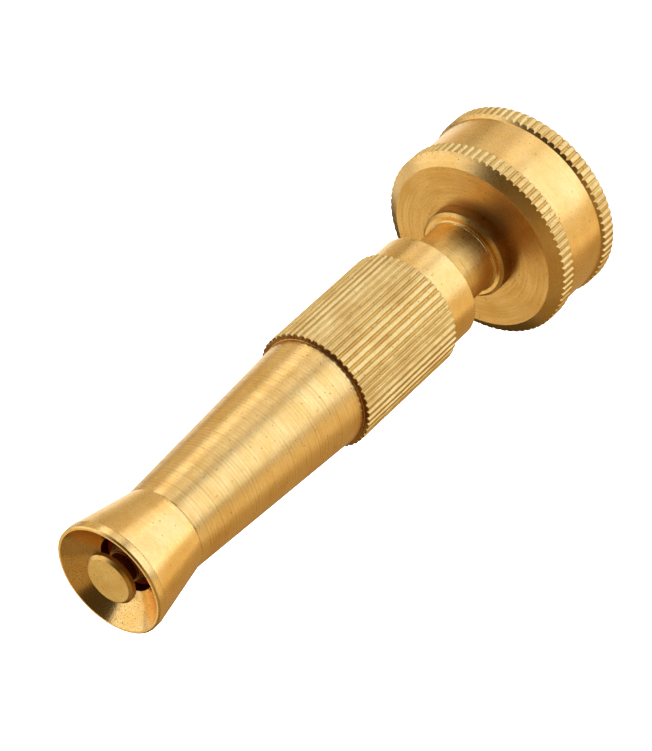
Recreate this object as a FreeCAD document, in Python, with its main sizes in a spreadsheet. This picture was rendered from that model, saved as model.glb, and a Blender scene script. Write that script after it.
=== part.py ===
import FreeCAD, Part
import math
import os

import Sketcher

# Adjustable twist hose nozzle, turned from solid brass, with a swivelling hose coupling.
# It stands on the coupling: z = 0 is the coupling's hose end, +Z points along the jet, and the barrel
# is screwed fully back, which closes the nozzle. All sizes are in millimetres.
DIMENSIONS = {
    "total_length": 101.9,
    # coupling nut, outside
    "nut_height": 14.6,
    "nut_face_radius": 14.2,
    "nut_crest_radius": 16.25,
    "nut_root_radius": 15.85,
    "nut_band_radius": 15.75,
    "nut_chamfer_height": 1.33,
    "front_knurl_height": 2.47,
    "rear_knurl_height": 2.3,
    "rear_bevel_height": 0.7,
    "nut_teeth": 78,
    # coupling nut, inside: 3/4 in garden hose thread, 11.5 threads per inch
    "hose_pitch": 2.209,
    "hose_minor_radius": 12.19,
    "hose_major_radius": 13.62,
    "hose_flat": 0.25,
    "hose_thread_start": 4.6,
    "land_radius": 12.25,
    "land_bottom": 5.9,
    "seat_bottom": 6.9,
    "seat_radius": 13.1,
    "nut_wall": 2.9,
    "nut_bore_radius": 6.56,
    # hose washer
    "washer_radius": 12.7,
    "washer_bore_radius": 7.95,
    "washer_bottom": 7.0,
    "washer_height": 3.1,
    # ferrule that keeps the coupling on the stem
    "ferrule_radius": 10.5,
    "ferrule_height": 1.45,
    "ferrule_gap": 0.01,
    "spigot_radius": 5.5,
    # stem: tail, hub and gland journal
    "running_gap": 0.05,
    "tail_radius": 6.5,
    "hub_radius": 7.5,
    "hub_face_radius": 7.0,
    "hub_height": 2.6,
    "hub_chamfer": 0.5,
    "journal_radius": 6.02,
    "journal_top": 43.6,
    "journal_runout": 1.0,
    # running thread between stem and barrel
    "flank_angle": 30,
    "thread_overlap": 0.15,
    "barrel_pitch": 2.5,
    "thread_bottom": 46.6,
    "stem_thread_turns": 8,
    "barrel_thread_turns": 5,
    "core_radius": 4.9,
    "ridge_radius": 5.75,
    "ridge_flat": 0.65,
    "thread_play": 0.14,
    "thread_root_gap": 0.1,
    # stem: water bore and front end
    "bore_start": 5.0,
    "bore_radius": 3.3,
    "bore_top": 89.3,
    "drill_point_angle": 31,
    "port_radius": 1.5,
    "port_depth": 15.0,
    "port_count": 4,
    "waist_radius": 4.0,
    "collar_radius": 4.95,
    "collar_back": 9.8,
    "collar_front": 8.95,
    "plug_radius": 4.4,
    "front_land_radius": 3.5,
    "nose_radius": 2.68,
    "nose_front": 3.6,
    "seal_groove_radius": 3.1,
    "seal_groove_front": 4.9,
    "seal_groove_width": 1.5,
    "neck_radius": 2.3,
    "head_radius": 4.13,
    "head_back": 1.1,
    "head_face_radius": 3.66,
    "head_chamfer": 0.45,
    # barrel, outside
    "barrel_length": 75.5,
    "barrel_radius": 9.0,
    "grip_radius": 9.85,
    "grip_root_radius": 9.45,
    "grip_rear": 69.5,
    "grip_front": 47.4,
    "grip_ribs": 50,
    "neck_depth": 12.0,
    "barrel_neck_radius": 7.08,
    "lip_radius": 9.15,
    "lip_back": 1.4,
    "rim_chamfer": 0.3,
    "rim_radius": 8.8,
    # barrel, inside
    "mouth_radius": 8.6,
    "throat_radius": 4.55,
    "throat_depth": 4.0,
    "seat_depth": 8.5,
    "chamber_radius": 5.3,
    "chamber_depth": 24.0,
    "passage_radius": 6.07,
    "nut_thread_front": 44.0,
    "nut_thread_rear": 54.0,
    "nut_thread_radius": 5.1,
    "gland_front": 70.9,
    "gland_width": 1.75,
    "gland_radius": 7.62,
    # rubber rings
    "seal_inner_radius": 3.13,
    "seal_outer_radius": 4.5,
    "gland_ring_inner_radius": 6.06,
    "gland_ring_outer_radius": 7.55,
}


def make_sheet(doc):
    """The table that drives every sub-part."""
    sheet = doc.addObject("Spreadsheet::Sheet", "size")
    for row, (alias, value) in enumerate(DIMENSIONS.items(), start=1):
        sheet.set(f"A{row}", alias)
        sheet.set(f"B{row}", str(value))
        sheet.setAlias(f"B{row}", alias)
    doc.recompute()


def new_body(doc, name):
    body = doc.addObject("PartDesign::Body", name)
    body.Label = name
    return body


def origin_plane(body, role):
    return next(plane for plane in body.Origin.OriginFeatures if plane.Role == role)


def new_sketch(body, name, role="XZ_Plane"):
    sketch = body.newObject("Sketcher::SketchObject", name)
    sketch.AttachmentSupport = (origin_plane(body, role), "")
    sketch.MapMode = "FlatFace"
    return sketch


def bind(sketch, kind, *elements, formula):
    """Adds a dimension whose value is a formula of the sheet's cells."""
    index = sketch.addConstraint(Sketcher.Constraint(kind, *elements, 1.0))
    sketch.setExpression(f"Constraints[{index}]", formula)


def section(body, name, corners):
    """A closed outline in the XZ plane. Each corner is a radius and a height, and None is zero."""
    sketch = new_sketch(body, name)
    count = len(corners)
    start = [
        FreeCAD.Vector(
            20 + 10 * math.cos(2 * math.pi * i / count), 20 + 10 * math.sin(2 * math.pi * i / count), 0
        )
        for i in range(count)
    ]
    for i in range(count):
        sketch.addGeometry(Part.LineSegment(start[i], start[(i + 1) % count]), False)
    for i in range(count):
        sketch.addConstraint(Sketcher.Constraint("Coincident", i, 2, (i + 1) % count, 1))
    for i, (radius, height) in enumerate(corners):
        if radius is None:
            sketch.addConstraint(Sketcher.Constraint("PointOnObject", i, 1, -2))
        else:
            bind(sketch, "DistanceX", -1, 1, i, 1, formula=radius)
        if height is None:
            sketch.addConstraint(Sketcher.Constraint("PointOnObject", i, 1, -1))
        else:
            bind(sketch, "DistanceY", -1, 1, i, 1, formula=height)
    return sketch


def turn(body, name, corners, kind="PartDesign::Revolution"):
    """Turns an outline about the nozzle's axis: a Revolution adds it and a Groove cuts it."""
    sketch = section(body, f"{name}_outline", corners)
    feature = body.newObject(kind, name)
    feature.Profile = sketch
    feature.ReferenceAxis = (sketch, ["V_Axis"])
    feature.Angle = 360
    body.Tip = feature
    return feature


def thread(body, name, corners, kind, pitch, length, downwards=False):
    """Winds an outline about the axis as a right-hand helix."""
    sketch = section(body, f"{name}_outline", corners)
    helix = body.newObject(kind, name)
    helix.Profile = sketch
    helix.ReferenceAxis = (sketch, ["V_Axis"])
    helix.Mode = "pitch-height-angle"
    helix.Angle = 0
    helix.Growth = 0
    helix.LeftHanded = False
    helix.Reversed = downwards
    helix.setExpression("Pitch", pitch)
    helix.setExpression("Height", length)
    body.Tip = helix
    return helix


def pattern_about_axis(body, name, feature, count):
    pattern = body.newObject("PartDesign::PolarPattern", name)
    pattern.Originals = [feature]
    pattern.Axis = (next(axis for axis in body.Origin.OriginFeatures if axis.Role == "Z_Axis"), [""])
    pattern.Angle = 360
    pattern.setExpression("Occurrences", count)
    body.Tip = pattern
    return pattern


def knurl(body, name, crest, root, count, length):
    """Straight V grooves around the outside, cut the whole length of whatever stands above their root."""
    sketch = new_sketch(body, f"{name}_groove", "XY_Plane")
    tip, upper, lower = FreeCAD.Vector(10, 0, 0), FreeCAD.Vector(12, 1, 0), FreeCAD.Vector(12, -1, 0)
    for first, second in ((tip, upper), (upper, lower), (lower, tip)):
        sketch.addGeometry(Part.LineSegment(first, second), False)
    for i in range(3):
        sketch.addConstraint(Sketcher.Constraint("Coincident", i, 2, (i + 1) % 3, 1))
    sketch.addConstraint(Sketcher.Constraint("PointOnObject", 0, 1, -1))
    sketch.addConstraint(Sketcher.Constraint("Symmetric", 1, 1, 1, 2, -1))
    bind(sketch, "DistanceX", -1, 1, 0, 1, formula=root)
    bind(sketch, "DistanceX", 0, 1, 0, 2, formula=f"2 * ({crest} - {root})")
    # at the crest the groove takes three quarters of the pitch, and the rest is the rib's flat top
    bind(sketch, "DistanceY", 1, 2, 1, 1, formula=f"1.5 * pi * {crest} / {count}")
    pocket = body.newObject("PartDesign::Pocket", f"{name}_pocket")
    pocket.Profile = sketch
    pocket.Type = "Length"
    pocket.Reversed = True
    pocket.setExpression("Length", length)
    body.Tip = pocket
    return pattern_about_axis(body, name, pocket, count)


def from_mouth(depth):
    """The height of a feature that lies this far behind the mouth."""
    return f"size.total_length - ({depth})"


def ring(doc, name, inner, outer, height):
    """A round rubber ring, given by its inside and outside radius."""
    torus = doc.addObject("Part::Torus", name)
    torus.Label = name
    torus.setExpression("Radius1", f"(size.{outer} + size.{inner}) / 2")
    torus.setExpression("Radius2", f"(size.{outer} - size.{inner}) / 2")
    torus.setExpression("Placement.Base.z", height)
    return torus


def make_coupling_nut(doc):
    """The swivelling hose coupling: two knurled bands, a flat front wall and the female hose thread."""
    body = new_body(doc, "coupling_nut")
    front_knurl = "size.nut_height - size.nut_chamfer_height - size.front_knurl_height"
    floor = "size.nut_height - size.nut_wall"
    mouth_step = "size.hose_major_radius - size.hose_minor_radius"
    turn(
        body,
        "nut_blank",
        [
            ("size.hose_major_radius", None),
            ("size.nut_crest_radius", None),
            ("size.nut_crest_radius", "size.rear_knurl_height"),
            ("size.nut_band_radius", "size.rear_knurl_height + size.rear_bevel_height"),
            ("size.nut_band_radius", front_knurl),
            ("size.nut_crest_radius", front_knurl),
            ("size.nut_crest_radius", "size.nut_height - size.nut_chamfer_height"),
            ("size.nut_face_radius", "size.nut_height"),
            ("size.nut_bore_radius", "size.nut_height"),
            ("size.nut_bore_radius", floor),
            ("size.seat_radius", floor),
            ("size.seat_radius", "size.seat_bottom"),
            ("size.land_radius", "size.seat_bottom"),
            ("size.land_radius", "size.land_bottom"),
            ("size.hose_minor_radius", "size.land_bottom"),
            ("size.hose_minor_radius", mouth_step),
        ],
    )
    half_flat = "size.hose_flat / 2"
    inner = "(size.hose_minor_radius - size.thread_overlap)"
    half_root = f"{half_flat} + (size.hose_major_radius - {inner}) * tan(size.flank_angle)"
    thread(
        body,
        "hose_thread",
        [
            (inner, f"size.hose_thread_start - ({half_root})"),
            ("size.hose_major_radius", f"size.hose_thread_start - {half_flat}"),
            ("size.hose_major_radius", f"size.hose_thread_start + {half_flat}"),
            (inner, f"size.hose_thread_start + {half_root}"),
        ],
        "PartDesign::SubtractiveHelix",
        "size.hose_pitch",
        "size.hose_thread_start + size.hose_pitch",
        downwards=True,
    )
    knurl(body, "nut_knurl", "size.nut_crest_radius", "size.nut_root_radius", "size.nut_teeth",
          "size.nut_height")
    return body


def make_hose_washer(doc):
    """The flat rubber washer that seals against the end of the hose."""
    body = new_body(doc, "hose_washer")
    top = "size.washer_bottom + size.washer_height"
    turn(
        body,
        "washer",
        [
            ("size.washer_bore_radius", "size.washer_bottom"),
            ("size.washer_radius", "size.washer_bottom"),
            ("size.washer_radius", top),
            ("size.washer_bore_radius", top),
        ],
    )
    return body


def make_swivel_ferrule(doc):
    """The flanged ring staked on the stem's tail inside the coupling, which the coupling turns against."""
    body = new_body(doc, "swivel_ferrule")
    top = "size.nut_height - size.nut_wall - size.running_gap"
    bore = "size.spigot_radius + size.ferrule_gap"
    turn(
        body,
        "ferrule",
        [
            (bore, f"{top} - size.ferrule_height"),
            ("size.ferrule_radius", f"{top} - size.ferrule_height"),
            ("size.ferrule_radius", top),
            (bore, top),
        ],
    )
    return body


def make_valve_stem(doc):
    """The hollow stem: tail, hub, gland journal, barrel thread, water ports, seal groove and deflector head."""
    body = new_body(doc, "valve_stem")
    shoulder = "size.nut_height - size.nut_wall - size.running_gap"
    tail_end = f"{shoulder} - size.ferrule_height"
    hub_bottom = "size.nut_height + size.running_gap"
    hub_top = "size.nut_height + size.hub_height"
    groove_back = "size.seal_groove_front + size.seal_groove_width"
    thread_top = "size.thread_bottom + size.barrel_pitch * size.stem_thread_turns"
    turn(
        body,
        "stem_blank",
        [
            (None, tail_end),
            ("size.spigot_radius", tail_end),
            ("size.spigot_radius", shoulder),
            ("size.tail_radius", shoulder),
            ("size.tail_radius", hub_bottom),
            ("size.hub_radius", hub_bottom),
            ("size.hub_radius", f"{hub_top} - size.hub_chamfer"),
            ("size.hub_face_radius", hub_top),
            ("size.journal_radius", hub_top),
            ("size.journal_radius", "size.journal_top"),
            ("size.core_radius", "size.journal_top + size.journal_runout"),
            ("size.core_radius", f"{thread_top} + size.barrel_pitch / 2"),
            ("size.waist_radius", f"{thread_top} + size.barrel_pitch"),
            ("size.waist_radius", from_mouth("size.collar_back")),
            ("size.collar_radius", from_mouth("size.collar_back")),
            ("size.collar_radius", from_mouth("size.collar_front")),
            ("size.plug_radius",
             from_mouth("size.collar_front - (size.collar_radius - size.plug_radius)")),
            ("size.plug_radius", from_mouth(groove_back)),
            ("size.seal_groove_radius", from_mouth(groove_back)),
            ("size.seal_groove_radius", from_mouth("size.seal_groove_front")),
            ("size.front_land_radius", from_mouth("size.seal_groove_front")),
            ("size.nose_radius", from_mouth("size.nose_front")),
            ("size.neck_radius", from_mouth("size.nose_front")),
            ("size.neck_radius", from_mouth("size.head_back")),
            ("size.head_radius", from_mouth("size.head_back")),
            ("size.head_radius", from_mouth("size.head_chamfer")),
            ("size.head_face_radius", "size.total_length"),
            (None, "size.total_length"),
        ],
    )
    turn(
        body,
        "water_bore",
        [
            (None, "size.bore_start"),
            ("size.bore_radius", "size.bore_start"),
            ("size.bore_radius", "size.bore_top"),
            (None, "size.bore_top + size.bore_radius * tan(size.drill_point_angle)"),
        ],
        "PartDesign::Groove",
    )
    circle = new_sketch(body, "port_circle")
    circle.addGeometry(Part.Circle(FreeCAD.Vector(0, 10, 0), FreeCAD.Vector(0, 0, 1), 1), False)
    circle.addConstraint(Sketcher.Constraint("PointOnObject", 0, 3, -2))
    bind(circle, "DistanceY", -1, 1, 0, 3, formula=from_mouth("size.port_depth"))
    bind(circle, "Radius", 0, formula="size.port_radius")
    port = body.newObject("PartDesign::Pocket", "water_port")
    port.Profile = circle
    port.Type = "Length"
    port.setExpression("Length", "2 * size.waist_radius")
    pattern_about_axis(body, "water_ports", port, "size.port_count")
    half_flat = "size.ridge_flat / 2"
    inner = "(size.core_radius - size.thread_overlap)"
    half_root = f"{half_flat} + (size.ridge_radius - {inner}) * tan(size.flank_angle)"
    thread(
        body,
        "stem_thread",
        [
            (inner, f"size.thread_bottom - ({half_root})"),
            ("size.ridge_radius", f"size.thread_bottom - {half_flat}"),
            ("size.ridge_radius", f"size.thread_bottom + {half_flat}"),
            (inner, f"size.thread_bottom + {half_root}"),
        ],
        "PartDesign::AdditiveHelix",
        "size.barrel_pitch",
        "size.barrel_pitch * size.stem_thread_turns",
    )
    return body


def make_spray_barrel(doc):
    """The outer barrel: flared mouth, throat, tapered body, ribbed grip, female thread and rear gland."""
    body = new_body(doc, "spray_barrel")
    flare = "(size.chamber_radius - size.throat_radius)"
    step = "(size.passage_radius - size.chamber_radius)"
    gland_back = "size.gland_front + size.gland_width"
    turn(
        body,
        "barrel_blank",
        [
            ("size.passage_radius", from_mouth("size.barrel_length")),
            ("size.barrel_radius", from_mouth("size.barrel_length")),
            ("size.barrel_radius", from_mouth("size.grip_rear")),
            ("size.grip_radius", from_mouth("size.grip_rear")),
            ("size.grip_radius", from_mouth("size.grip_front")),
            ("size.barrel_radius", from_mouth("size.grip_front")),
            ("size.barrel_neck_radius", from_mouth("size.neck_depth")),
            ("size.lip_radius", from_mouth("size.lip_back")),
            ("size.lip_radius", from_mouth("size.rim_chamfer")),
            ("size.rim_radius", "size.total_length"),
            ("size.mouth_radius", "size.total_length"),
            ("size.throat_radius", from_mouth("size.throat_depth")),
            ("size.throat_radius", from_mouth("size.seat_depth")),
            ("size.chamber_radius", from_mouth(f"size.seat_depth + {flare}")),
            ("size.chamber_radius", from_mouth("size.chamber_depth")),
            ("size.passage_radius", from_mouth(f"size.chamber_depth + {step}")),
            ("size.passage_radius", from_mouth("size.nut_thread_front")),
            ("size.nut_thread_radius", from_mouth("size.nut_thread_front")),
            ("size.nut_thread_radius", from_mouth("size.nut_thread_rear")),
            ("size.passage_radius", from_mouth("size.nut_thread_rear")),
            ("size.passage_radius", from_mouth("size.gland_front")),
            ("size.gland_radius", from_mouth("size.gland_front")),
            ("size.gland_radius", from_mouth(gland_back)),
            ("size.passage_radius", from_mouth(gland_back)),
        ],
    )
    half_flat = "size.ridge_flat / 2 + size.thread_play"
    groove_radius = "(size.ridge_radius + size.thread_root_gap)"
    half_root = f"{half_flat} + ({groove_radius} - size.core_radius) * tan(size.flank_angle)"
    thread(
        body,
        "barrel_thread",
        [
            ("size.core_radius", f"size.thread_bottom - ({half_root})"),
            (groove_radius, f"size.thread_bottom - ({half_flat})"),
            (groove_radius, f"size.thread_bottom + {half_flat}"),
            ("size.core_radius", f"size.thread_bottom + {half_root}"),
        ],
        "PartDesign::SubtractiveHelix",
        "size.barrel_pitch",
        "size.barrel_pitch * size.barrel_thread_turns",
    )
    knurl(body, "grip_knurl", "size.grip_radius", "size.grip_root_radius", "size.grip_ribs",
          "size.total_length")
    return body


def make_rings(doc):
    """The shut-off ring on the stem's plug and the gland ring inside the barrel's rear end."""
    shutoff = ring(
        doc, "shutoff_o_ring", "seal_inner_radius", "seal_outer_radius",
        from_mouth("size.seal_groove_front + size.seal_groove_width / 2"),
    )
    gland = ring(
        doc, "gland_o_ring", "gland_ring_inner_radius", "gland_ring_outer_radius",
        from_mouth("size.gland_front + size.gland_width / 2"),
    )
    return [shutoff, gland]


def check(doc, pieces):
    for item in doc.Objects:
        if {"Invalid", "Error"} & set(item.State):
            raise RuntimeError(f"{item.Name} failed: {item.State}")
    for piece in pieces:
        if piece.Shape.isNull() or not piece.Shape.isValid() or len(piece.Shape.Solids) != 1:
            raise RuntimeError(f"{piece.Label} is not one valid solid")


def main():
    doc = FreeCAD.newDocument("hose_nozzle")
    make_sheet(doc)
    pieces = [
        make_coupling_nut(doc),
        make_hose_washer(doc),
        make_swivel_ferrule(doc),
        make_valve_stem(doc),
        make_spray_barrel(doc),
        *make_rings(doc),
    ]
    doc.recompute()
    check(doc, pieces)
    os.makedirs("parts", exist_ok=True)
    for piece in pieces:
        piece.Shape.exportStep(f"parts/{piece.Label}.step")
        print(piece.Label, round(piece.Shape.Volume, 1))


main()
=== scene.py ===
import math

import bmesh
import bpy
import numpy as np
from mathutils import Matrix, Vector


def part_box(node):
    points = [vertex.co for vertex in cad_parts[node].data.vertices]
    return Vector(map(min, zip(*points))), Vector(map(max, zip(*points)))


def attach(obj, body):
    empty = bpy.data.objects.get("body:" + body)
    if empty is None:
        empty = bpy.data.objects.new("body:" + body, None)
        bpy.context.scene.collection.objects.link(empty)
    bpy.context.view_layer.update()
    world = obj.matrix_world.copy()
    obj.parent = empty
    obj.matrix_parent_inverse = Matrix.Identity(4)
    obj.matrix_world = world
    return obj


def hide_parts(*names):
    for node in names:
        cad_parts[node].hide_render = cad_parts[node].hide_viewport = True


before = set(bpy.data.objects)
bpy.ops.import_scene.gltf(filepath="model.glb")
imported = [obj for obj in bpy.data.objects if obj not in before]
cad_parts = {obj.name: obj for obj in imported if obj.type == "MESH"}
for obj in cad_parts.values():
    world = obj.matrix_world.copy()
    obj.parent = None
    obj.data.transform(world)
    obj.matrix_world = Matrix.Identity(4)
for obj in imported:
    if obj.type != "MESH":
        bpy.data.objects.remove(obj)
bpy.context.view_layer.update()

# Outlines are in millimetres: a radius from the nozzle's axis and a height above the coupling's hose end.
MM = 0.001


def height(node, end):
    """The height of a CAD node's bottom or top, in millimetres."""
    low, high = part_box(node)
    return {"bottom": low.z, "top": high.z}[end] / MM


# Places that come from the frame
MOUTH = height("spray_barrel", "top")
BARREL_END = height("spray_barrel", "bottom")
NUT_TOP = height("coupling_nut", "top")
TAIL_END = height("valve_stem", "bottom")
FERRULE_BOTTOM = height("swivel_ferrule", "bottom")
FERRULE_TOP = height("swivel_ferrule", "top")
WASHER_BOTTOM = height("hose_washer", "bottom")
WASHER_TOP = height("hose_washer", "top")

# Barrel, from the mouth to the rear collar
LIP_RADIUS = 9.15
RIM_OUTER = 8.91
RIM_INNER = 8.6
RIM_CHAMFER = 0.20
LIP_LINE = MOUTH - 1.39
FLARE_BACK = MOUTH - 12.0
FLARE_BACK_RADIUS = 7.09
THROAT_TOP = MOUTH - 4.0
THROAT_BOTTOM = MOUTH - 8.5
CHAMBER_TOP = MOUTH - 9.25
CHAMBER_BOTTOM = MOUTH - 24.0
PASSAGE_TOP = MOUTH - 24.77
GLAND_GROOVE_RADIUS = 7.62
GLAND_GROOVE_TOP = MOUTH - 70.9
GLAND_GROOVE_BOTTOM = MOUTH - 72.65
GRIP_BOTTOM = BARREL_END + 6.0
GRIP_TOP = MOUTH - 47.4
COLLAR_RADIUS = 9.0
GRIP_RADIUS = 9.85
GRIP_ROOT = 9.47
GRIP_RIBS = 50
POINTS_PER_RIB = 16
# a rib's flank and how unevenly it is worn, as shares of the ribs' pitch
RIB_FLANK = 0.30
RIB_FLANK_WEAR = 0.05
# wear of the crests, as a share of the grooves' depth
RIB_CREST_WEAR = 0.06
# how ragged the ribs' front ends are, and how far that is let down
RIB_END_WEAR = 0.06
RIB_END_DROP = 0.05
PASSAGE_RADIUS = 6.07
CHAMBER_RADIUS = 5.3
THROAT_RADIUS = 4.55
BARREL_THREAD_RADIUS = 5.1
BARREL_THREAD_TOP = MOUTH - 44.0
BARREL_THREAD_BOTTOM = MOUTH - 54.0

# Running thread, shared by stem and barrel
RUNNING_PITCH = 2.5
RUNNING_START = 46.6
RIDGE_RADIUS = 5.75
CORE_RADIUS = 4.9
RIDGE_FLAT = 0.65
STEM_THREAD_TURNS = 8
THREAD_PLAY = 0.14
FLANK = math.tan(math.radians(30))

# Stem, from the deflector head to the tail
HEAD_FACE_RADIUS = 3.66
HEAD_RADIUS = 4.13
HEAD_CHAMFER = 0.45
HEAD_BACK = MOUTH - 1.1
NECK_RADIUS = 2.3
NOSE_RADIUS = 2.68
NOSE_TOP = MOUTH - 3.6
LAND_RADIUS = 3.5
SEAL_GROOVE_TOP = MOUTH - 4.9
SEAL_GROOVE_BOTTOM = MOUTH - 6.4
SEAL_GROOVE_RADIUS = 3.1
PLUG_RADIUS = 4.4
PLUG_BOTTOM = MOUTH - 8.4
SEAT_RADIUS = 4.95
SEAT_TOP = MOUTH - 8.95
SEAT_BOTTOM = MOUTH - 9.8
WAIST_RADIUS = 4.0
PORT_RADIUS = 1.5
PORT_LEVEL = MOUTH - 15.0
JOURNAL_RADIUS = 6.02
JOURNAL_TOP = 43.6
STEM_THREAD_TOP = RUNNING_START + RUNNING_PITCH * STEM_THREAD_TURNS
HUB_RADIUS = 7.5
HUB_CHAMFER = 0.5
HUB_TOP = NUT_TOP + 2.6
HUB_BOTTOM = NUT_TOP + 0.05
SWIVEL_RADIUS = 6.5
TAIL_RADIUS = 5.5
WATER_BORE = 3.3
WATER_BORE_TOP = 89.3
DRILL_POINT_TOP = 91.28

# Coupling
NUT_BORE = 6.56
WASHER_SEAT_RADIUS = 13.1
WASHER_SEAT_BOTTOM = 6.9
SEAT_LAND_RADIUS = 12.25
NUT_CREST = 16.25
NUT_ROOT = 15.9
NUT_BAND = 15.75
NUT_FACE = 14.2
NUT_CHAMFER = 1.33
NUT_TEETH = 78
POINTS_PER_TOOTH = 12
# half of a groove's flat root, its wear and a tooth's flank, as shares of the teeth's pitch
TOOTH_ROOT = 0.01
TOOTH_WEAR = 0.012
TOOTH_FLANK = 0.24
NUT_FLOOR = NUT_TOP - 2.9
FRONT_BAND_BOTTOM = NUT_TOP - NUT_CHAMFER - 2.47
REAR_BAND_TOP = 2.3
REAR_BEVEL = 0.5
HOSE_PITCH = 2.209
HOSE_MINOR = 12.19
HOSE_MAJOR = 13.62
HOSE_START = 4.6
HOSE_THREAD_TOP = 5.9
HOSE_FLAT = 0.25

# Ferrule and seals
FERRULE_BORE = 5.51
FERRULE_RADIUS = 10.5
WASHER_INNER = 7.95
WASHER_OUTER = 12.7
SHUTOFF_INNER = 3.13
SHUTOFF_OUTER = 4.5
GLAND_INNER = 6.06
GLAND_OUTER = 7.55

# Zones of a piece, each with a finish of its own; three of the finishes paint shade into their colour
TURNED, COARSE, FACED, SATIN, SHADE_DIMMED, BLASTED, SHADED_CUT, SHADED_RECESS, HIDDEN = range(9)


# ---------------------------------------------------------------- mesh helpers

def rounded(corners, closed=True, step=None, arc_parts=5, hold=0.12):
    """Turns corners (radius, height, fillet, zone of the run that follows) into a smooth outline.

    Each fillet becomes a short arc, and each straight run gets a point close to either end, so that flat
    walls stay flat when they are smooth shaded. step divides the runs of the zones that it names.
    """
    step = step or {}
    count = len(corners)
    points = [Vector(corner[:2]) for corner in corners]
    outline, zones = [], []
    arcs = []
    for i, (_, _, fillet, zone) in enumerate(corners):
        here = points[i]
        if fillet == 0 or (not closed and i in (0, count - 1)):
            arcs.append([here])
            continue
        before, after = points[i - 1] - here, points[(i + 1) % count] - here
        room = 0.45 * min(before.length, after.length)
        before.normalize()
        after.normalize()
        half = before.angle(after) / 2
        reach = min(fillet / math.tan(half), room)
        radius = reach * math.tan(half)
        centre = here + (before + after).normalized() * radius / math.sin(half)
        start, end = here + before * reach - centre, here + after * reach - centre
        sweep = start.angle_signed(end)
        arcs.append(
            [
                centre + Matrix.Rotation(-sweep * k / arc_parts, 2) @ start
                for k in range(arc_parts + 1)
            ]
        )
    for i in range(count):
        zone = corners[i][3]
        for point in arcs[i]:
            outline.append(point)
            zones.append(zone)
        if not closed and i == count - 1:
            break
        start, end = arcs[i][-1], arcs[(i + 1) % count][0]
        run = (end - start).length
        edge = min(hold, run / 4)
        inner = run - 2 * edge
        parts = max(1, math.ceil(inner / step[zone])) if zone in step else 1
        for k in range(parts + 1):
            outline.append(start.lerp(end, (edge + inner * k / parts) / run))
            zones.append(zone)
    return np.array([tuple(p) for p in outline]), zones


def lathe(name, outline, zones, segments, warp=None, closed=True):
    """Turns an outline about the nozzle's axis. warp moves points, for ribs and threads. A closed outline
    runs on from its last point to its first."""
    angles = np.arange(segments) * 2 * math.pi / segments
    radius = np.repeat(outline[:, :1], segments, axis=1)
    level = np.repeat(outline[:, 1:], segments, axis=1)
    turn = np.repeat(angles[None, :], len(outline), axis=0)
    if warp:
        radius, level = warp(radius, level, turn)
    grid = np.stack([radius * np.cos(turn), radius * np.sin(turn), level], axis=-1) * MM
    rings = len(outline)
    index = np.arange(rings * segments).reshape(rings, segments)
    faces, materials = [], []
    for i in range(rings if closed else rings - 1):
        here, there = index[i], index[(i + 1) % rings]
        quads = np.stack([here, np.roll(here, -1), np.roll(there, -1), there], axis=1)
        faces.extend(quads.tolist())
        materials.extend([zones[i]] * segments)
    mesh = bpy.data.meshes.new(name)
    mesh.from_pydata(grid.reshape(-1, 3).tolist(), [], faces)
    mesh.polygons.foreach_set("material_index", materials)
    piece = bpy.data.objects.new(name, mesh)
    bpy.context.scene.collection.objects.link(piece)
    return piece


def finish_mesh(piece, materials):
    """Welds the poles, turns the faces outward, shades them smooth and adds the materials."""
    work = bmesh.new()
    work.from_mesh(piece.data)
    bmesh.ops.remove_doubles(work, verts=work.verts, dist=1e-7)
    bmesh.ops.recalc_face_normals(work, faces=work.faces)
    work.to_mesh(piece.data)
    work.free()
    piece.data.shade_smooth()
    for material in materials:
        piece.data.materials.append(material)
    return piece


def smooth_step(low, high, value):
    t = np.clip((value - low) / (high - low), 0, 1)
    return t * t * (3 - 2 * t)


def worn(turn, level, cells, rows, pitch, seed):
    """A smooth random field on a cylinder, from -1 to 1, the same at every run."""
    values = np.random.default_rng(seed).uniform(-1, 1, (rows, cells))
    u = turn / (2 * math.pi) * cells
    v = np.clip(level / pitch, 0, rows - 1.001)
    i, j = np.floor(v).astype(int), np.floor(u).astype(int)
    s, t = v - i, u - j
    s, t = s * s * (3 - 2 * s), t * t * (3 - 2 * t)
    a, b = values[i, j % cells], values[i, (j + 1) % cells]
    c, d = values[i + 1, j % cells], values[i + 1, (j + 1) % cells]
    return (a * (1 - t) + b * t) * (1 - s) + (c * (1 - t) + d * t) * s


def from_groove(turn, count):
    """The distance from the nearest groove of a straight knurl, as a share of its pitch, 0 to 0.5."""
    phase = (turn / (2 * math.pi) * count) % 1
    return np.minimum(phase, 1 - phase)


def helix_offset(turn, level, pitch, start):
    """How far a point lies above the nearest turn of a right-hand helix, along the axis."""
    return (level - start - pitch * turn / (2 * math.pi) + pitch / 2) % pitch - pitch / 2


# ---------------------------------------------------------------- materials

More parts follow.
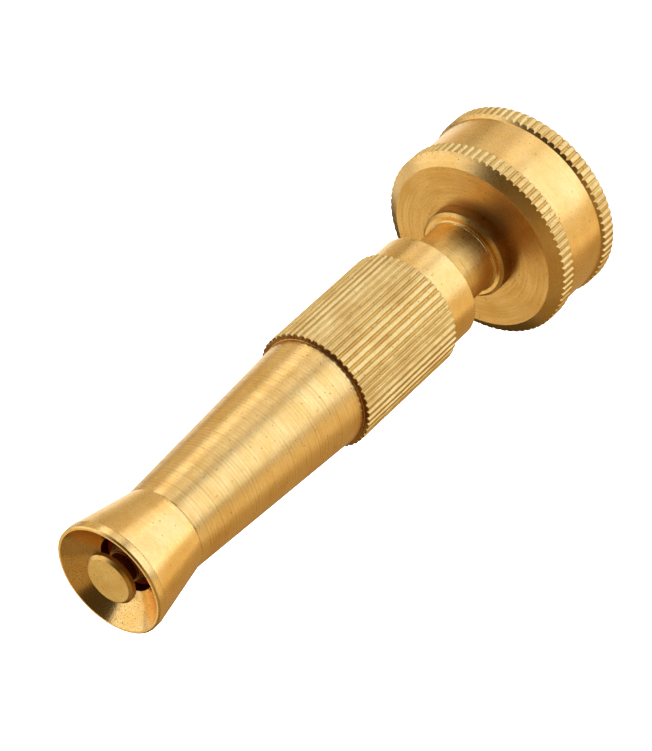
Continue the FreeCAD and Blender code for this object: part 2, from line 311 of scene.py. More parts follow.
class Graph:
    """Short names for the nodes that a material is made of."""

    def __init__(self, name):
        self.material = bpy.data.materials.new(name)
        self.material.use_nodes = True
        self.tree = self.material.node_tree
        self.shader = self.tree.nodes["Principled BSDF"]

    def node(self, kind, **inputs):
        node = self.tree.nodes.new(kind)
        for key, value in inputs.items():
            self.feed(node, key.replace("_", " "), value)
        return node

    def feed(self, node, key, value):
        socket = node.inputs[int(key)] if key.isdigit() else node.inputs[key]
        if isinstance(value, bpy.types.NodeSocket):
            self.tree.links.new(value, socket)
        else:
            socket.default_value = value

    def math(self, operation, first, second=0.0):
        node = self.tree.nodes.new("ShaderNodeMath")
        node.operation = operation
        self.feed(node, "0", first)
        self.feed(node, "1", second)
        return node.outputs[0]

    def vector(self, operation, first, second=None, scale=None):
        node = self.tree.nodes.new("ShaderNodeVectorMath")
        node.operation = operation
        self.feed(node, "0", first)
        if second is not None:
            self.feed(node, "1", second)
        if scale is not None:
            self.feed(node, "Scale", scale)
        return node

    def noise(self, vector, scale, detail=2.0, roughness=0.5):
        node = self.node("ShaderNodeTexNoise", Vector=vector, Scale=scale, Detail=detail, Roughness=roughness)
        return node.outputs["Fac"]

    def spread(self, value, low, high, to_low=0.0, to_high=1.0):
        node = self.tree.nodes.new("ShaderNodeMapRange")
        node.interpolation_type = "SMOOTHSTEP"
        for key, item in enumerate((value, low, high, to_low, to_high)):
            self.feed(node, str(key), item)
        return node.outputs["Result"]

    def mix(self, factor, first, second, blend="MIX"):
        node = self.tree.nodes.new("ShaderNodeMix")
        node.data_type = "RGBA"
        node.blend_type = blend
        self.feed(node, "0", factor)
        self.feed(node, "6", first)
        self.feed(node, "7", second)
        return node.outputs[2]


FEED_PITCH = 0.58
COARSE_LINES = 0.012
SCORE_COLOUR = (0.40, 0.21, 0.055, 1)
SAND_COLOUR = (0.50, 0.27, 0.07, 1)
PIT_COLOUR = (0.12, 0.055, 0.015, 1)
PIT_DEPTH = 0.02


def lathe_marks(g, point):
    """Fine marks and deeper feed lines. Both are long round the axis and close together along it, or
    across it on a face."""
    flat = g.vector("MULTIPLY", point, (1.0, 1.0, 0.0)).outputs[0]
    radius = g.vector("LENGTH", flat).outputs["Value"]
    around = g.vector("NORMALIZE", flat).outputs[0]
    split = g.node("ShaderNodeSeparateXYZ", Vector=point)
    ring = g.math("ADD", split.outputs["Z"], g.math("MULTIPLY", radius, 0.83))
    along = g.node("ShaderNodeCombineXYZ", Z=ring).outputs[0]
    marks = g.vector("ADD", g.vector("SCALE", around, scale=0.35).outputs[0], along).outputs[0]
    fine = g.noise(marks, 5.0, 2.0, 0.7)
    drift = g.math("MULTIPLY", g.noise(marks, 0.8, 2.0), 0.9)
    feed = g.math("FRACT", g.math("ADD", g.math("DIVIDE", ring, FEED_PITCH), drift))
    line = g.spread(g.math("ABSOLUTE", g.math("SUBTRACT", feed, 0.5)), 0.03, 0.17, 1.0, 0.0)
    broken = g.spread(g.noise(marks, 1.3, 3.0, 0.75), 0.38, 0.64, 0.12, 1.0)
    return fine, g.math("MULTIPLY", line, broken)


def dark_pits(g, point, specks):
    """Tiny dark pits, in some cells of a grid of points only."""
    pits = g.node("ShaderNodeTexVoronoi", Vector=point, Scale=1.3, Randomness=1.0)
    depth = g.spread(pits.outputs["Distance"], 0.05, 0.16, 1.0, 0.0)
    chosen = g.spread(g.noise(point, 1.1, 1.0), 0.66 - specks, 0.70 - specks)
    return g.math("MULTIPLY", depth, chosen)


def brass(name, roughness, lines, grain, sanded, specks, tone=(0.93, 0.63, 0.25), shade=(0.85, 0.53, 0.17),
          edge=(1.0, 0.97, 0.90)):
    """Turned brass. lines is the depth of the lathe marks and grain that of the sandy finish, in
    millimetres; sanded is how dark the grain is and specks how many tiny dark pits there are. tone and shade
    colour its lighter and darker patches, and edge tints what it mirrors at a grazing angle."""
    g = Graph(name)
    point = g.vector("SCALE", g.node("ShaderNodeTexCoord").outputs["Object"], scale=1 / MM).outputs[0]
    fine, scores = lathe_marks(g, point)
    dark = dark_pits(g, point, specks)
    sand = g.noise(point, 5.2, 2.5, 0.65)
    patches = g.noise(point, 0.22, 3.0, 0.6)

    colour = g.mix(g.spread(patches, 0.35, 0.7), (*tone, 1), (*shade, 1))
    drawn = min(1.0, lines / COARSE_LINES)
    streak = g.math("MULTIPLY", g.spread(fine, 0.42, 0.62), min(0.3, 100 * lines))
    colour = g.mix(streak, colour, (0.9 * shade[0], 0.82 * shade[1], 0.7 * shade[2], 1))
    colour = g.mix(g.math("MULTIPLY", scores, 0.42 * drawn), colour, SCORE_COLOUR)
    colour = g.mix(g.math("MULTIPLY", g.spread(sand, 0.51, 0.64), sanded), colour, SAND_COLOUR)
    colour = g.mix(g.math("MULTIPLY", dark, 0.75), colour, PIT_COLOUR)
    g.feed(g.shader, "Base Color", colour)
    g.shader.inputs["Metallic"].default_value = 1.0
    rough = g.math("ADD", roughness, g.math("MULTIPLY", g.spread(fine, 0.3, 0.75), min(0.10, 25 * lines)))
    rough = g.math("ADD", rough, g.math("MULTIPLY", dark, 0.3))
    rough = g.math("ADD", rough, g.math("MULTIPLY", g.spread(sand, 0.3, 0.7), 0.08))
    g.feed(g.shader, "Roughness", rough)
    turned = g.math("SUBTRACT", g.math("MULTIPLY", fine, 0.5), g.math("MULTIPLY", scores, 0.5))
    bumps = g.math("ADD", g.math("MULTIPLY", turned, lines), g.math("MULTIPLY", sand, grain))
    bumps = g.math("SUBTRACT", bumps, g.math("MULTIPLY", dark, PIT_DEPTH))
    bump = g.node("ShaderNodeBump", Height=bumps)
    bump.inputs["Strength"].default_value = 1.0
    bump.inputs["Distance"].default_value = MM
    g.feed(g.shader, "Normal", bump.outputs["Normal"])
    g.shader.inputs["Anisotropic"].default_value = min(0.35, 60 * lines)
    g.shader.inputs["Specular Tint"].default_value = (*edge, 1.0)
    tangent = g.node("ShaderNodeTangent")
    tangent.direction_type = "RADIAL"
    tangent.axis = "Z"
    g.feed(g.shader, "Tangent", tangent.outputs["Tangent"])
    return g.material


def rubber(name, colour, roughness=0.55, shine=0.3):
    """Moulded rubber with a fine matt skin and a faint dusty bloom."""
    g = Graph(name)
    point = g.vector("SCALE", g.node("ShaderNodeTexCoord").outputs["Object"], scale=1 / MM).outputs[0]
    skin = g.noise(point, 7.0, 3.0, 0.6)
    bloom = g.spread(g.noise(point, 0.5, 3.0), 0.45, 0.75)
    paler = tuple(1.7 * c for c in colour)
    g.shader.inputs["Specular IOR Level"].default_value = shine
    g.feed(g.shader, "Base Color", g.mix(g.math("MULTIPLY", bloom, 0.5), (*colour, 1), (*paler, 1)))
    g.feed(g.shader, "Roughness", g.math("ADD", roughness - 0.1, g.math("MULTIPLY", skin, 0.25)))
    bump = g.node("ShaderNodeBump", Height=g.math("MULTIPLY", skin, 0.02))
    bump.inputs["Distance"].default_value = MM
    g.feed(g.shader, "Normal", bump.outputs["Normal"])
    return g.material


PALE = {"tone": (0.82, 0.605, 0.255), "shade": (0.71, 0.475, 0.175), "edge": (0.90, 0.76, 0.52)}
# The next three tones are darker colours that paint shade: the first dims the recessed journal and the head
# and hub chamfers, the second darkens faces and sides that lie in shade, and the third is the deep painted
# shade in the throat and on the neck.
SHADE_BROWNED = {"tone": (0.88, 0.57, 0.19), "shade": (0.74, 0.44, 0.12)}
SHADE_DARK = {"tone": (0.50, 0.27, 0.08), "shade": (0.30, 0.14, 0.04)}
RECESS_SHADE = {"tone": (0.26, 0.05, 0.015), "shade": (0.08, 0.012, 0.005)}
finishes = {
    TURNED: brass("turned_brass", 0.24, lines=0.0015, grain=0.002, sanded=0.20, specks=0.14),
    COARSE: brass("coarse_turned_brass", 0.24, lines=0.012, grain=0.002, sanded=0.16, specks=0.17),
    FACED: brass("faced_brass", 0.31, lines=0.0035, grain=0.005, sanded=0.40, specks=0.14),
    SATIN: brass("satin_brass", 0.30, lines=0.001, grain=0.010, sanded=0.35, specks=0.24, **PALE),
    # lathe-ringed brass whose browner, darker tone is painted shade
    SHADE_DIMMED: brass("shade_dimmed_brass", 0.24, lines=0.008, grain=0.004, sanded=0.35, specks=0.16, **SHADE_BROWNED),
    BLASTED: brass("blasted_brass", 0.17, lines=0.0, grain=0.007, sanded=0.75, specks=0.16),
    # rough cut faces whose dark tone is painted shade
    SHADED_CUT: brass("shaded_cut_brass", 0.42, lines=0.004, grain=0.012, sanded=0.5, specks=0.2, **SHADE_DARK),
    # a very dark red tone that is painted shade, for the deep throat and the neck
    SHADED_RECESS: brass("recess_shaded_brass", 0.45, lines=0.004, grain=0.006, sanded=0.3, specks=0.1, **RECESS_SHADE),
    HIDDEN: brass("bored_brass", 0.35, lines=0.008, grain=0.003, sanded=0.2, specks=0.05),
}
BRASS = [finishes[zone] for zone in range(len(finishes))]
BLACK_RUBBER = [rubber("black_rubber", (0.018, 0.018, 0.020))]
RED_RUBBER = [rubber("red_rubber", (0.045, 0.002, 0.0008), 0.8, shine=0.02)]


# ---------------------------------------------------------------- pieces

def spray_barrel():
    """Flared mouth, throat, tapered body, ribbed grip and rear collar, with the running thread inside."""
    corners = [
        (PASSAGE_RADIUS, BARREL_END, 0.15, TURNED),
        (COLLAR_RADIUS, BARREL_END, 0.14, TURNED),
        (COLLAR_RADIUS, GRIP_BOTTOM, 0.03, SATIN),
        (GRIP_RADIUS, GRIP_BOTTOM, 0.15, SATIN),
        # the step face at the ribs' front end is rough cut, and its dark tone is painted shade
        (GRIP_RADIUS, GRIP_TOP, 0.16, SHADED_CUT),
        (COLLAR_RADIUS, GRIP_TOP, 0.08, COARSE),
        # a fine step and a scribed line where the taper meets the flare
        (FLARE_BACK_RADIUS + 0.01, FLARE_BACK - 0.30, 0.15, TURNED),
        (FLARE_BACK_RADIUS - 0.01, FLARE_BACK - 0.10, 0.04, TURNED),
        (FLARE_BACK_RADIUS - 0.04, FLARE_BACK - 0.06, 0.03, TURNED),
        (FLARE_BACK_RADIUS, FLARE_BACK, 0.04, TURNED),
        # the line round the lip
        (LIP_RADIUS - 0.02, LIP_LINE - 0.03, 0.03, TURNED),
        (LIP_RADIUS - 0.05, LIP_LINE, 0.02, TURNED),
        (LIP_RADIUS, LIP_LINE + 0.05, 0.03, TURNED),
        (LIP_RADIUS, MOUTH - RIM_CHAMFER, 0.08, TURNED),
        (RIM_OUTER, MOUTH, 0.05, TURNED),
        (RIM_INNER, MOUTH, 0.03, BLASTED),
        # the throat wall's very dark red is painted shade of the deep recess
        (THROAT_RADIUS, THROAT_TOP, 0.08, SHADED_RECESS),
        (THROAT_RADIUS, THROAT_BOTTOM, 0.1, HIDDEN),
        (CHAMBER_RADIUS, CHAMBER_TOP, 0.1, HIDDEN),
        (CHAMBER_RADIUS, CHAMBER_BOTTOM, 0.1, HIDDEN),
        (PASSAGE_RADIUS, PASSAGE_TOP, 0.1, HIDDEN),
        (PASSAGE_RADIUS, BARREL_THREAD_TOP, 0.03, HIDDEN),
        (BARREL_THREAD_RADIUS, BARREL_THREAD_TOP, 0.03, "thread"),
        (BARREL_THREAD_RADIUS, BARREL_THREAD_BOTTOM, 0.03, HIDDEN),
        (PASSAGE_RADIUS, BARREL_THREAD_BOTTOM, 0.03, HIDDEN),
        (PASSAGE_RADIUS, GLAND_GROOVE_TOP, 0.06, HIDDEN),
        (GLAND_GROOVE_RADIUS, GLAND_GROOVE_TOP, 0.1, HIDDEN),
        (GLAND_GROOVE_RADIUS, GLAND_GROOVE_BOTTOM, 0.1, HIDDEN),
        (PASSAGE_RADIUS, GLAND_GROOVE_BOTTOM, 0.06, HIDDEN),
    ]
    step = {SATIN: 0.55, "thread": 0.21, TURNED: 3.0, COARSE: 3.0, BLASTED: 0.8}
    outline, zones = rounded(corners, step=step)
    zones = [HIDDEN if zone == "thread" else zone for zone in zones]

    def warp(radius, level, turn):
        away = from_groove(turn, GRIP_RIBS)
        uneven = worn(turn, level - GRIP_BOTTOM, 4 * GRIP_RIBS, 60, 0.8, seed=3)
        rib = smooth_step(0.0, RIB_FLANK + RIB_FLANK_WEAR * uneven, away)
        crest_wear = worn(turn, level - GRIP_BOTTOM, 3 * GRIP_RIBS, 60, 0.6, seed=4)
        rib = np.clip(rib + RIB_CREST_WEAR * crest_wear, 0, 1)
        crest = GRIP_ROOT + (GRIP_RADIUS - GRIP_ROOT) * rib
        on_grip = (level > GRIP_BOTTOM - 0.2) & (level < GRIP_TOP + 0.2) & (radius > COLLAR_RADIUS)
        share = (radius - COLLAR_RADIUS) / (GRIP_RADIUS - COLLAR_RADIUS)
        radius = np.where(on_grip, COLLAR_RADIUS + share * (crest - COLLAR_RADIUS), radius)
        ragged = RIB_END_WEAR * worn(turn, level * 0, 5 * GRIP_RIBS, 4, 1.0, seed=5) * np.clip(share, 0, 1)
        level = np.where(on_grip & (level > GRIP_TOP - 0.3), level + ragged - RIB_END_DROP, level)

        offset = np.abs(helix_offset(turn, level, RUNNING_PITCH, RUNNING_START))
        groove = RIDGE_RADIUS + 0.1 - np.clip(offset - RIDGE_FLAT / 2 - THREAD_PLAY, 0, None) / FLANK
        groove = np.clip(groove, BARREL_THREAD_RADIUS, None)
        in_thread = (level > BARREL_THREAD_BOTTOM - 0.1) & (level < BARREL_THREAD_TOP + 0.1)
        in_thread &= radius < PASSAGE_RADIUS
        depth = (PASSAGE_RADIUS - radius) / (PASSAGE_RADIUS - BARREL_THREAD_RADIUS)
        return np.where(in_thread, PASSAGE_RADIUS - depth * (PASSAGE_RADIUS - groove), radius), level

    return lathe("barrel", outline, zones, GRIP_RIBS * POINTS_PER_RIB, warp)


def valve_stem():
    """Deflector head, neck, seal groove, seat collar, thread, journal, hub and the hollow tail."""
    corners = [
        (0.0, MOUTH, 0, SATIN),
        # the head's chamfer and side and the nose behind them carry darker tones that are painted shade
        (HEAD_FACE_RADIUS, MOUTH, 0.06, SHADE_DIMMED),
        (HEAD_RADIUS, MOUTH - HEAD_CHAMFER, 0.08, SHADED_CUT),
        (HEAD_RADIUS, HEAD_BACK, 0.07, SHADED_CUT),
        (NECK_RADIUS, HEAD_BACK, 0.1, "neck"),
        (NECK_RADIUS, NOSE_TOP, 0.06, SHADED_CUT),
        (NOSE_RADIUS, NOSE_TOP, 0.04, SHADED_CUT),
        (LAND_RADIUS, SEAL_GROOVE_TOP, 0.05, HIDDEN),
        (SEAL_GROOVE_RADIUS, SEAL_GROOVE_TOP, 0.05, HIDDEN),
        (SEAL_GROOVE_RADIUS, SEAL_GROOVE_BOTTOM, 0.05, HIDDEN),
        (PLUG_RADIUS, SEAL_GROOVE_BOTTOM, 0.05, HIDDEN),
        (PLUG_RADIUS, PLUG_BOTTOM, 0.05, HIDDEN),
        (SEAT_RADIUS, SEAT_TOP, 0.05, HIDDEN),
        (SEAT_RADIUS, SEAT_BOTTOM, 0.08, HIDDEN),
        (WAIST_RADIUS, SEAT_BOTTOM, 0.1, "waist"),
        (WAIST_RADIUS, STEM_THREAD_TOP + RUNNING_PITCH, 0.2, HIDDEN),
        (CORE_RADIUS, STEM_THREAD_TOP + RUNNING_PITCH / 2, 0.2, "thread"),
        (CORE_RADIUS, JOURNAL_TOP + 1.0, 0.2, HIDDEN),
        # the recessed journal's lathe rings are real, and its browner, darker tone is painted shade
        (JOURNAL_RADIUS, JOURNAL_TOP, 0.15, SHADE_DIMMED),
        (JOURNAL_RADIUS, HUB_TOP, 0.40, TURNED),
        # the hub's chamfer and side have darker tones that are painted shade
        (HUB_RADIUS - HUB_CHAMFER, HUB_TOP, 0.12, SHADE_DIMMED),
        (HUB_RADIUS, HUB_TOP - HUB_CHAMFER, 0.15, SHADED_CUT),
        (HUB_RADIUS, HUB_BOTTOM, 0.06, HIDDEN),
        (SWIVEL_RADIUS, HUB_BOTTOM, 0.04, HIDDEN),
        (SWIVEL_RADIUS, FERRULE_TOP, 0.04, HIDDEN),
        (TAIL_RADIUS, FERRULE_TOP, 0.02, HIDDEN),
        (TAIL_RADIUS, TAIL_END, 0.12, TURNED),
        (WATER_BORE, TAIL_END, 0.2, HIDDEN),
        (WATER_BORE, WATER_BORE_TOP, 0.1, HIDDEN),
        (0.0, DRILL_POINT_TOP, 0, HIDDEN),
    ]
    step = {"thread": 0.2, "waist": 1.5, TURNED: 3.0, SHADE_DIMMED: 3.0}
    outline, zones = rounded(corners, closed=False, step=step)
    # the neck takes the very dark red painted shade of the recess behind the head
    plain = {"thread": HIDDEN, "waist": HIDDEN, "neck": SHADED_RECESS}
    zones = [plain.get(zone, zone) for zone in zones]

    def warp(radius, level, turn):
        offset = np.abs(helix_offset(turn, level, RUNNING_PITCH, RUNNING_START))
        ridge = RIDGE_RADIUS - np.clip(offset - RIDGE_FLAT / 2, 0, None) / FLANK
        rise = smooth_step(RUNNING_START - 0.4, RUNNING_START + 0.6, level)
        rise *= smooth_step(STEM_THREAD_TOP + 0.4, STEM_THREAD_TOP - 0.6, level)
        ridge = CORE_RADIUS + rise * np.clip(ridge - CORE_RADIUS, 0, None)
        on_thread = (level > RUNNING_START - 1) & (level < STEM_THREAD_TOP + 1)
        on_thread &= radius > CORE_RADIUS - 0.01
        return np.where(on_thread, np.maximum(radius, ridge), radius), level

    return lathe("stem", outline, zones, 240, warp, closed=False)


def bore_ports(stem):
    """Two crossed drillings make the four water ports through the stem's waist."""
    reach = JOURNAL_RADIUS
    outline = np.array([(0.0, -reach), (PORT_RADIUS, -reach), (PORT_RADIUS, reach), (0.0, reach)])
    cutters = []
    for k in range(2):
        cutter = lathe(f"port_cutter_{k}", outline, [HIDDEN] * 4, 48, closed=False)
        turned = Matrix.Rotation(math.pi / 2, 4, "X")
        lifted = Matrix.Translation((0, 0, PORT_LEVEL * MM))
        cutter.data.transform(lifted @ Matrix.Rotation(k * math.pi / 2, 4, "Z") @ turned)
        finish_mesh(cutter, [])
        cutters.append(cutter)
    for cutter in cutters:
        modifier = stem.modifiers.new(cutter.name, "BOOLEAN")
        modifier.object = cutter
        modifier.operation = "DIFFERENCE"
        modifier.solver = "EXACT"
    bpy.context.view_layer.update()
    evaluated = stem.evaluated_get(bpy.context.evaluated_depsgraph_get())
    bored = bpy.data.meshes.new_from_object(evaluated)
    stem.modifiers.clear()
    stem.data = bored
    for cutter in cutters:
        bpy.data.objects.remove(cutter)


def coupling_nut():
    """Two knurled bands with a smooth band between, a chamfered front wall and the hose thread."""
    mouth_chamfer = HOSE_MAJOR - HOSE_MINOR
    corners = [
        # the hose end's rim is rough cut, and its dark tone is painted shade
        (HOSE_MAJOR, 0.0, 0.08, SHADED_CUT),
        (NUT_CREST, 0.0, 0.18, SATIN),
        (NUT_CREST, REAR_BAND_TOP, 0.04, "bevel"),
        (NUT_BAND, REAR_BAND_TOP + REAR_BEVEL, 0.04, TURNED),
        (NUT_BAND, FRONT_BAND_BOTTOM, 0.08, SATIN),
        (NUT_CREST, FRONT_BAND_BOTTOM, 0.10, SATIN),
        (NUT_CREST, NUT_TOP - NUT_CHAMFER, 0.05, "chamfer"),
        (NUT_FACE, NUT_TOP, 0.20, "face"),
        (NUT_BORE, NUT_TOP, 0.1, HIDDEN),
        (NUT_BORE, NUT_FLOOR, 0.1, HIDDEN),
        (WASHER_SEAT_RADIUS, NUT_FLOOR, 0.15, HIDDEN),
        (WASHER_SEAT_RADIUS, WASHER_SEAT_BOTTOM, 0.1, HIDDEN),
        (SEAT_LAND_RADIUS, WASHER_SEAT_BOTTOM, 0.1, HIDDEN),
        (SEAT_LAND_RADIUS, HOSE_THREAD_TOP, 0.02, HIDDEN),
        (HOSE_MINOR, HOSE_THREAD_TOP, 0.02, "thread"),
        (HOSE_MINOR, mouth_chamfer, 0.02, "thread"),
    ]
    step = {SATIN: 0.3, "thread": 0.15, "chamfer": 0.25, "bevel": 0.12, "face": 1.6, TURNED: 1.6}
    outline, zones = rounded(corners, step=step)
    plain = {"thread": HIDDEN, "chamfer": TURNED, "bevel": TURNED, "face": FACED}
    zones = [plain.get(zone, zone) for zone in zones]
    front_slope = NUT_CHAMFER / (NUT_CREST - NUT_FACE)
    rear_slope = REAR_BEVEL / (NUT_CREST - NUT_BAND)

    def warp(radius, level, turn):
        away = from_groove(turn, NUT_TEETH)
        wear = worn(turn, level, 3 * NUT_TEETH, 40, 0.5, seed=11)
        tooth = np.clip((away - TOOTH_ROOT + TOOTH_WEAR * wear) / TOOTH_FLANK, 0, 1)
        crest = NUT_ROOT + (NUT_CREST - NUT_ROOT) * tooth
        outer = radius > NUT_BAND
        share = np.clip((radius - NUT_BAND) / (NUT_CREST - NUT_BAND), 0, 1)
        cut = np.where(outer, NUT_BAND + share * (crest - NUT_BAND), radius)
        # the grooves run out through the chamfer and the bevel, so their points slide down the cones
        foot = NUT_TOP - NUT_CHAMFER
        on_chamfer = outer & (level >= foot - 0.01)
        moved = np.where(on_chamfer, NUT_TOP - (cut - NUT_FACE) * front_slope, level)
        on_front = outer & (level < foot - 0.01) & (level > FRONT_BAND_BOTTOM - 0.2)
        lift = (level - FRONT_BAND_BOTTOM) / (foot - FRONT_BAND_BOTTOM)
        moved = np.where(on_front, level + lift * (NUT_CREST - cut) * front_slope, moved)
        on_bevel = outer & (level >= REAR_BAND_TOP - 0.01) & (level < FRONT_BAND_BOTTOM - 1)
        moved = np.where(on_bevel, REAR_BAND_TOP + (NUT_CREST - cut) * rear_slope, moved)
        on_rear = outer & (level < REAR_BAND_TOP - 0.01)
        moved = np.where(on_rear, level + level / REAR_BAND_TOP * (NUT_CREST - cut) * rear_slope, moved)

        # centre follows the last turn of the hose thread's groove, and there is none above it
        centre = HOSE_START - HOSE_PITCH + HOSE_PITCH * turn / (2 * math.pi)
        offset = np.abs((np.minimum(level, centre + HOSE_PITCH / 2) - centre + HOSE_PITCH / 2) % HOSE_PITCH
                        - HOSE_PITCH / 2)
        above = level - centre
        offset = np.where(above > HOSE_PITCH / 2, above, offset)
        groove = HOSE_MAJOR - np.clip(offset - HOSE_FLAT / 2, 0, None) / FLANK
        inside = (level < HOSE_THREAD_TOP) & (radius < HOSE_MAJOR - 0.05)
        return np.where(inside, np.maximum(cut, groove), cut), moved

    return lathe("coupling", outline, zones, NUT_TEETH * POINTS_PER_TOOTH, warp)


def ferrule():
    """The flanged ring staked on the stem's tail."""
    corners = [
        (FERRULE_BORE, FERRULE_BOTTOM, 0.15, TURNED),
        (FERRULE_RADIUS, FERRULE_BOTTOM, 0.2, TURNED),
        (FERRULE_RADIUS, FERRULE_TOP, 0.15, TURNED),
        (FERRULE_BORE, FERRULE_TOP, 0.03, HIDDEN),
    ]
    outline, zones = rounded(corners, step={TURNED: 1.0})
    return lathe("retaining_ferrule", outline, zones, 192)


def washer():
    """Flat rubber washer with a fine parting line round its middle."""
    middle = (WASHER_BOTTOM + WASHER_TOP) / 2
    corners = [
        (WASHER_INNER, WASHER_BOTTOM, 0.35, 0),
        (WASHER_OUTER, WASHER_BOTTOM, 0.4, 0),
        (WASHER_OUTER - 0.1, middle - 0.12, 0.05, 0),
        (WASHER_OUTER, middle, 0.04, 0),
        (WASHER_OUTER - 0.1, middle + 0.12, 0.05, 0),
        (WASHER_OUTER, WASHER_TOP, 0.4, 0),
        (WASHER_INNER, WASHER_TOP, 0.35, 0),
    ]
    outline, zones = rounded(corners, step={0: 0.8})
    return lathe("washer", outline, zones, 192)


def o_ring(name, node, inner, outer):
    """A round ring with its moulding flash as a faint line inside and outside."""
    middle = (height(node, "bottom") + height(node, "top")) / 2
    thick = (outer - inner) / 2
    turns = np.arange(48) * 2 * math.pi / 48
    bead = thick * (1 - 0.03 * np.abs(np.sin(turns)) ** 0.5)
    outline = np.stack([(inner + outer) / 2 + bead * np.cos(turns), middle + bead * np.sin(turns)], axis=1)
    return lathe(name, outline, [0] * len(outline), 160)


def place(piece, materials, body, node):
    """Finishes a piece and puts it on its body, in place of its CAD node."""
    finish_mesh(piece, materials)
    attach(piece, body)
    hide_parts(node)


stem = valve_stem()
finish_mesh(stem, [])
bore_ports(stem)
for material in BRASS:
    stem.data.materials.append(material)
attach(stem, "stem")
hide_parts("valve_stem")
place(spray_barrel(), BRASS, "barrel", "spray_barrel")
place(coupling_nut(), BRASS, "coupling", "coupling_nut")
place(ferrule(), BRASS, "stem", "swivel_ferrule")
place(washer(), BLACK_RUBBER, "coupling", "hose_washer")
shutoff_ring = o_ring("shutoff_ring", "shutoff_o_ring", SHUTOFF_INNER, SHUTOFF_OUTER)
place(shutoff_ring, RED_RUBBER, "stem", "shutoff_o_ring")
gland_ring = o_ring("gland_ring", "gland_o_ring", GLAND_INNER, GLAND_OUTER)
place(gland_ring, BLACK_RUBBER, "gland", "gland_o_ring")


# ---------------------------------------------------------------- stage, lights and camera

def stage_floor():
    """A wide pale flat floor for the nozzle to stand on. It isn't mirrored in the metal."""
    rings = [(0.0, 0.0), (0.5, 0.0), (2.0, 0.0), (4.0, 0.0)]
    outline = np.array(rings) / MM
    floor = lathe("floor", outline, [0] * len(rings), 96, closed=False)
    g = Graph("pale_floor")
    spot = g.noise(g.node("ShaderNodeTexCoord").outputs["Object"], 40.0, 3.0)
    g.feed(g.shader, "Base Color", g.mix(spot, (0.88, 0.88, 0.88, 1), (0.92, 0.92, 0.92, 1)))
    g.shader.inputs["Roughness"].default_value = 1.0
    g.shader.inputs["Specular IOR Level"].default_value = 0.0
    g.shader.inputs["Emission Color"].default_value = (1.0, 1.0, 1.0, 1.0)
    g.shader.inputs["Emission Strength"].default_value = 0.5
    floor.data.materials.append(g.material)
    floor.visible_glossy = False
    floor.visible_shadow = False


AIM = Vector((0, 0, 0.055))
LIGHT_DISTANCE = 1.0
COOL, WHITE, WARM, BROWN = (1.0, 1.12, 1.34), (1.0, 1.0, 1.0), (1.0, 0.84, 0.55), (1.0, 0.69, 0.32)


def direction(azimuth, elevation):
    """A direction in the row frame. Azimuth 0 is +X, the camera's side."""
    a, e = math.radians(azimuth), math.radians(elevation)
    return Vector((math.cos(e) * math.cos(a), math.cos(e) * math.sin(a), math.sin(e)))


def softbox(name, azimuth, elevation, wide, tall, brightness, colour, glossy=True):
    """A soft rectangular light that faces the nozzle, wide by tall degrees across. brightness is how bright
    its face looks."""
    light = bpy.data.lights.new(name, "AREA")
    light.shape = "RECTANGLE"
    light.size, light.size_y = (2 * LIGHT_DISTANCE * math.tan(math.radians(a / 2)) for a in (wide, tall))
    light.energy = 4 * light.size * light.size_y * brightness
    light.color = colour
    lamp = bpy.data.objects.new(name, light)
    away = direction(azimuth, elevation)
    turned = away.to_track_quat("Z", "Y").to_matrix().to_4x4()
    lamp.matrix_world = Matrix.Translation(AIM + away * LIGHT_DISTANCE) @ turned
    lamp.visible_camera = False
    lamp.visible_glossy = glossy
    bpy.context.scene.collection.objects.link(lamp)


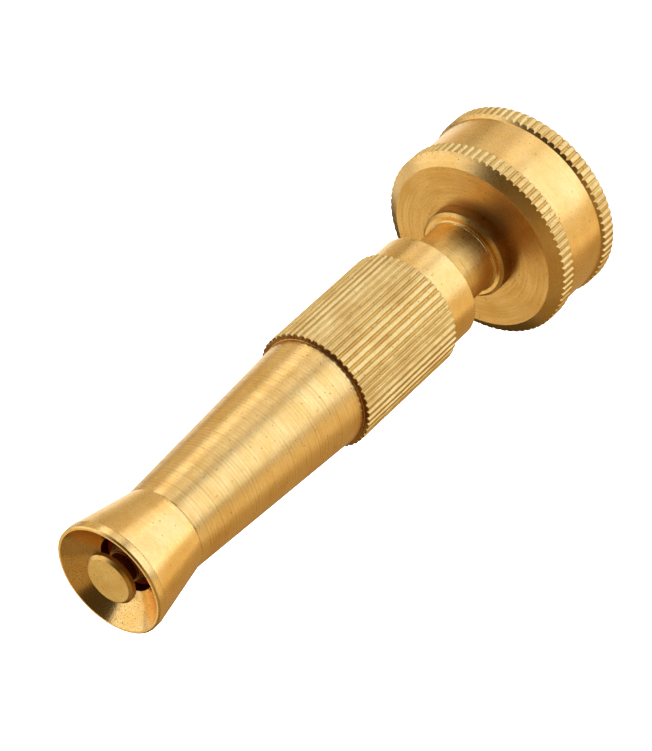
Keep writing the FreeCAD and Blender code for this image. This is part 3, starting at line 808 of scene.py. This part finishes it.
def studio():
    """A broad soft light low in front, bright ones on the left and behind, and dim ones on the right."""
    softbox("front_low", -10, -38, 54, 54, 1.06, COOL)
    softbox("front_left", 42, -36, 18, 56, 0.92, WHITE)
    softbox("left_low", 72, -19, 22, 38, 1.32, WHITE)
    softbox("left_under", 92, -54, 54, 26, 0.46, WARM)
    softbox("left_gap", 108, -24, 24, 28, 0.62, WARM)
    softbox("left_wall", 109, 32, 54, 50, 0.92, WHITE)
    softbox("behind_left", 152, -42, 34, 30, 0.94, WHITE)
    softbox("behind_edge", 150, 4, 24, 22, 0.70, WHITE)
    softbox("behind_high", 172, 42, 36, 30, 0.84, WARM)
    softbox("behind_low", 180, -46, 30, 34, 0.30, WHITE)
    softbox("right_low", -68, -38, 34, 56, 0.68, WARM)
    softbox("right_wall", -122, -30, 60, 52, 0.34, BROWN)
    softbox("right_middle", -100, 14, 90, 34, 0.18, BROWN)
    softbox("right_high", -90, 54, 80, 40, 0.28, BROWN)
    softbox("top", 0, 89, 24, 24, 0.35, BROWN)
    softbox("floor_wash", 180, 80, 80, 80, 3.6, WHITE, glossy=False)
    world = bpy.data.worlds.new("studio")
    bpy.context.scene.world = world
    world.use_nodes = True
    tree = world.node_tree
    seen, dim = tree.nodes["Background"], tree.nodes.new("ShaderNodeBackground")
    seen.inputs["Color"].default_value = (1, 1, 1, 1)
    dim.inputs["Color"].default_value = (0.06, 0.042, 0.02, 1)
    choose, path = tree.nodes.new("ShaderNodeMixShader"), tree.nodes.new("ShaderNodeLightPath")
    tree.links.new(path.outputs["Is Camera Ray"], choose.inputs[0])
    tree.links.new(dim.outputs[0], choose.inputs[1])
    tree.links.new(seen.outputs[0], choose.inputs[2])
    tree.links.new(choose.outputs[0], tree.nodes["World Output"].inputs["Surface"])


CAMERA_PLACE = (0.41820, 0.00057, 0.35032)
CAMERA_ELEVATION = 35.59
CAMERA_ROLL = -132.53
LENS = 168.3
SENSOR_WIDTH = 36.0


def camera():
    """Looks down on the nozzle, rolled so that it lies across the picture."""
    elevation, roll = math.radians(CAMERA_ELEVATION), math.radians(CAMERA_ROLL)
    back = Vector((math.cos(elevation), 0, math.sin(elevation)))
    level_right = Vector((0, 0, 1)).cross(back).normalized()
    level_up = back.cross(level_right)
    right = level_right * math.cos(roll) + level_up * math.sin(roll)
    up = back.cross(right)
    view = bpy.data.cameras.new("camera")
    view.sensor_width = SENSOR_WIDTH
    view.lens = LENS
    eye = bpy.data.objects.new("camera", view)
    turned = Matrix((right, up, back)).transposed().to_4x4()
    eye.matrix_world = Matrix.Translation(CAMERA_PLACE) @ turned
    bpy.context.scene.collection.objects.link(eye)
    bpy.context.scene.camera = eye


stage_floor()
studio()
camera()
bpy.context.scene.view_settings.view_transform = "Standard"
